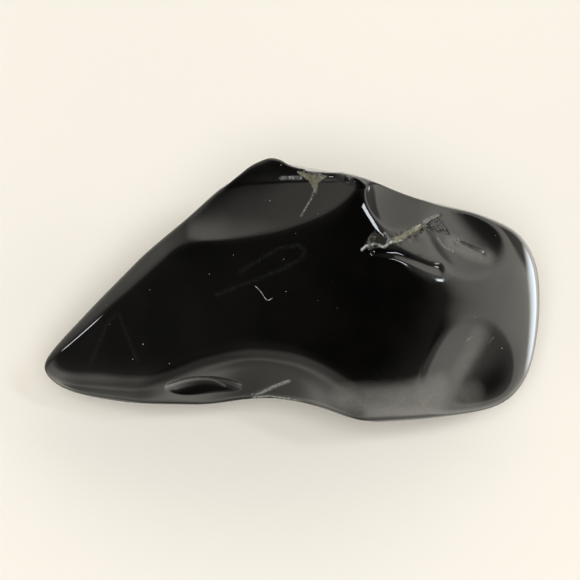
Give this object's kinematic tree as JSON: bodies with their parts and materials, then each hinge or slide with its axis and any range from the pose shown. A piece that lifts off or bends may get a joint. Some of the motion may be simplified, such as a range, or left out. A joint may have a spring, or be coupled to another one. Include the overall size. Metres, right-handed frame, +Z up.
{
  "type": "obsidian chunk",
  "caption": "Tumbled chunk of black obsidian: a glossy wedge-shaped stone with a worn crest, small chips and cracks, and a flat to lie on.",
  "frame": {"origin": "middle of the bounding box, on the floor the stone lies on", "axes": "+X along the length toward the blunt end, +Y to the back, where the crest is, +Z up"},
  "size_m": [0.0306, 0.0158, 0.0121],
  "materials": {
    "stone": "polished, with small matte chips"
  },
  "bodies": {
    "root": {"stone": "stone"}
  },
  "joints": []
}
